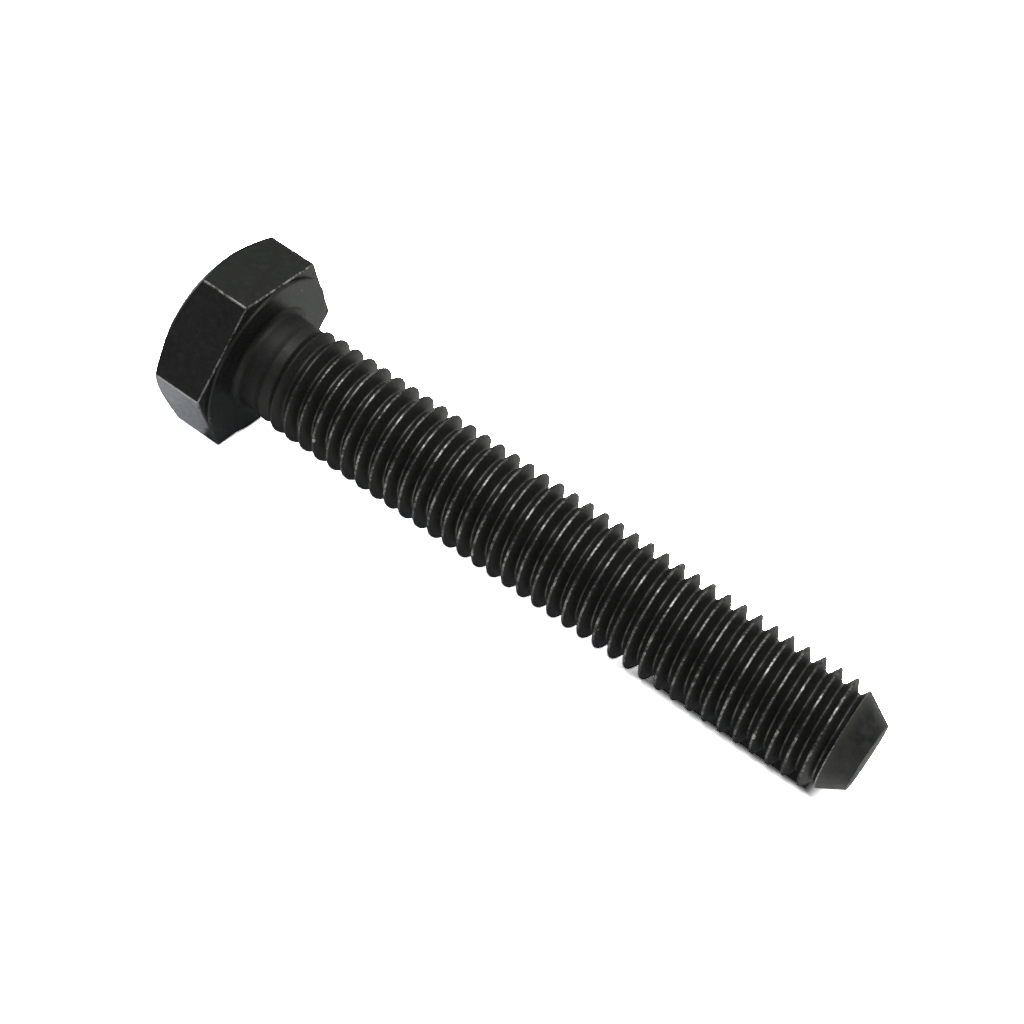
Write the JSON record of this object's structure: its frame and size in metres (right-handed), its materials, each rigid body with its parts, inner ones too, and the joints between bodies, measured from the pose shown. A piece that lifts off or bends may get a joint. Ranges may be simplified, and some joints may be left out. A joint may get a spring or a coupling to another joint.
{
  "type": "hex bolt",
  "caption": "Black steel hex bolt, threaded along its whole shank, with a washer face under the chamfered head, a short neck and a conical point.",
  "frame": {"origin": "centre of the bearing face under the head, where it meets the clamped part", "axes": "+X along the bolt's axis from the bearing face to the point; +Z square to one of the head's flats, so the bolt lies on a flat"},
  "size_m": [0.0553, 0.015, 0.013],
  "materials": {
    "black_oxide_steel": "black oxide, satin, with bright worn edges and crests"
  },
  "bodies": {
    "root": {"head_chamfer": "black_oxide_steel", "hexagon": "black_oxide_steel", "washer_face": "black_oxide_steel", "neck": "black_oxide_steel", "threaded_shank": "black_oxide_steel", "point": "black_oxide_steel"}
  },
  "joints": []
}
